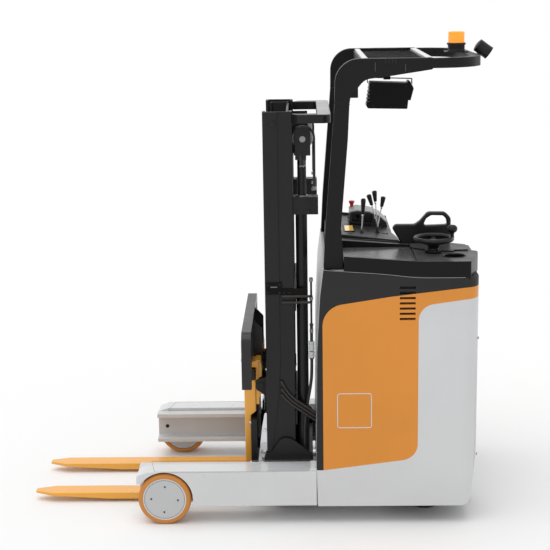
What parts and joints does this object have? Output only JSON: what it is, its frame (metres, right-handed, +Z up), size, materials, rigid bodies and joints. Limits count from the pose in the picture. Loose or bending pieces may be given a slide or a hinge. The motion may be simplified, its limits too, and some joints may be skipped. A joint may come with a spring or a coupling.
{
  "type": "reach truck",
  "caption": "Stand-up electric reach truck with a two-stage mast that slides out between two load legs, orange side panels and an overhead guard",
  "frame": {"origin": "on the floor under the middle of the whole machine's bounding box", "axes": "+X forward to the fork tips, +Y to the machine's left, +Z up"},
  "size_m": [2.286, 1.1, 2.2923],
  "materials": {
    "orange_paint": "gloss orange paint",
    "light_grey_paint": "satin light grey paint",
    "white_paint": "gloss off-white paint",
    "charcoal_paint": "satin charcoal paint",
    "mast_paint": "satin black paint",
    "bright_steel": "machined bare steel",
    "chrome_rod": "hard chrome",
    "cast_grey": "grey cast iron",
    "hub_enamel": "light grey enamel",
    "orange_polyurethane": "moulded polyurethane",
    "dark_tyre": "moulded polyurethane",
    "grey_moulding": "fine grained grey moulding",
    "light_moulding": "fine grained pale moulding",
    "black_moulding": "fine grained black moulding",
    "amber_lens": "clear amber lens",
    "red_button": "gloss red",
    "black_rubber": "moulded rubber",
    "battery_paint": "satin dark grey enamel"
  },
  "bodies": {
    "chassis": {"leg_left": "white_paint", "leg_right": "white_paint", "leg_channels": "light_grey_paint", "chassis_frame": "light_grey_paint", "side_panel_left": "orange_paint", "side_panel_right": "orange_paint", "upper_band_left": "charcoal_paint", "upper_band_right": "charcoal_paint", "rear_cover_left": "light_grey_paint", "rear_cover_right": "light_grey_paint", "battery": "battery_paint", "console_cover": "grey_moulding", "dash_console": "light_moulding", "hand_levers": "black_moulding", "stop_button": "red_button", "grab_handle": "black_moulding", "floor_mat": "black_rubber", "brake_pedal": "black_rubber", "knee_pad": "black_moulding", "drive_motor": "cast_grey", "guard_pillars": "charcoal_paint", "guard_roof": "charcoal_paint", "beacon_base": "black_moulding", "beacon_lens": "amber_lens", "rear_lamp": "black_moulding", "work_light": "charcoal_paint", "reach_cylinder": "mast_paint"},
    "load_wheel_left": {"load_tyre_left": "orange_polyurethane", "load_hub_left": "hub_enamel"},
    "load_wheel_right": {"load_tyre_right": "orange_polyurethane", "load_hub_right": "hub_enamel"},
    "drive_steer": {"drive_gearbox": "cast_grey"},
    "drive_wheel": {"drive_tyre": "dark_tyre", "drive_hub": "cast_grey"},
    "caster_swivel": {"caster_fork": "cast_grey"},
    "caster_pair": {"caster_wheels": "dark_tyre"},
    "helm": {"steering_wheel": "black_moulding"},
    "reach_mast": {"reach_carriage": "mast_paint", "guide_rollers": "bright_steel", "reach_rod": "chrome_rod", "mast_outer_left": "mast_paint", "mast_outer_right": "mast_paint", "mast_ties": "mast_paint", "lift_cylinders": "mast_paint"},
    "inner_mast": {"mast_inner_left": "mast_paint", "mast_inner_right": "mast_paint", "inner_mast_head": "mast_paint", "inner_mast_rollers": "bright_steel", "lift_rods": "chrome_rod"},
    "lift_frame": {"lift_carriage": "mast_paint"},
    "fork_set": {"fork_frame": "mast_paint", "fork_left": "orange_paint", "fork_right": "orange_paint", "load_backrest": "charcoal_paint"},
    "tilt_barrel": {"tilt_cylinder": "bright_steel"},
    "tilt_plunger": {"tilt_rod": "chrome_rod"}
  },
  "joints": [
    {"name": "load_wheel_left_spin", "type": "hinge", "parent": "chassis", "child": "load_wheel_left", "pos_m": [0.457, 0.502, 0.127], "axis": [0, 1, 0], "continuous": true},
    {"name": "load_wheel_right_spin", "type": "hinge", "parent": "chassis", "child": "load_wheel_right", "pos_m": [0.457, -0.502, 0.127], "axis": [0, 1, 0], "continuous": true},
    {"name": "drive_steering", "type": "hinge", "parent": "chassis", "child": "drive_steer", "pos_m": [-0.801, 0.325, 0.372], "axis": [0, 0, 1], "range_deg": [-90, 90]},
    {"name": "drive_wheel_spin", "type": "hinge", "parent": "drive_steer", "child": "drive_wheel", "pos_m": [-0.801, 0.325, 0.165], "axis": [0, 1, 0], "continuous": true},
    {"name": "caster_turn", "type": "hinge", "parent": "chassis", "child": "caster_swivel", "pos_m": [-0.846, -0.33, 0.2], "axis": [0, 0, 1], "continuous": true},
    {"name": "caster_spin", "type": "hinge", "parent": "caster_swivel", "child": "caster_pair", "pos_m": [-0.888, -0.33, 0.089], "axis": [0, 1, 0], "continuous": true},
    {"name": "steering_wheel_turn", "type": "hinge", "parent": "chassis", "child": "helm", "pos_m": [-0.834, 0.335, 1.343], "axis": [0, 0, 1], "continuous": true},
    {"name": "mast_reach", "type": "slide", "parent": "chassis", "child": "reach_mast", "axis": [1, 0, 0], "range_m": [0, 0.55]},
    {"name": "mast_lift", "type": "slide", "parent": "reach_mast", "child": "inner_mast", "axis": [0, 0, 1], "range_m": [0, 1.35]},
    {"name": "carriage_lift", "type": "slide", "parent": "inner_mast", "child": "lift_frame", "axis": [0, 0, 1], "range_m": [0, 1.35]},
    {"name": "fork_tilt", "type": "hinge", "parent": "lift_frame", "child": "fork_set", "pos_m": [-0.003, 0, 0.61], "axis": [0, -1, 0], "range_deg": [0, 4]},
    {"name": "tilt_barrel_swing", "type": "hinge", "parent": "fork_set", "child": "tilt_barrel", "pos_m": [-0.005, 0, 0.218], "axis": [0, 1, 0], "range_deg": [-1.4, 0.01]},
    {"name": "tilt_rod_slide", "type": "slide", "parent": "tilt_barrel", "child": "tilt_plunger", "axis": [-0.0276, 0, 0.9996], "range_m": [-0.00001, 0.00124]}
  ],
  "couplings": [
    {"joint": "carriage_lift", "follows": "mast_lift", "ratio": 1},
    {"joint": "tilt_barrel_swing", "follows": "fork_tilt", "ratio": -0.34725},
    {"joint": "tilt_rod_slide", "follows": "fork_tilt", "m_per_rad": 0.017573}
  ]
}
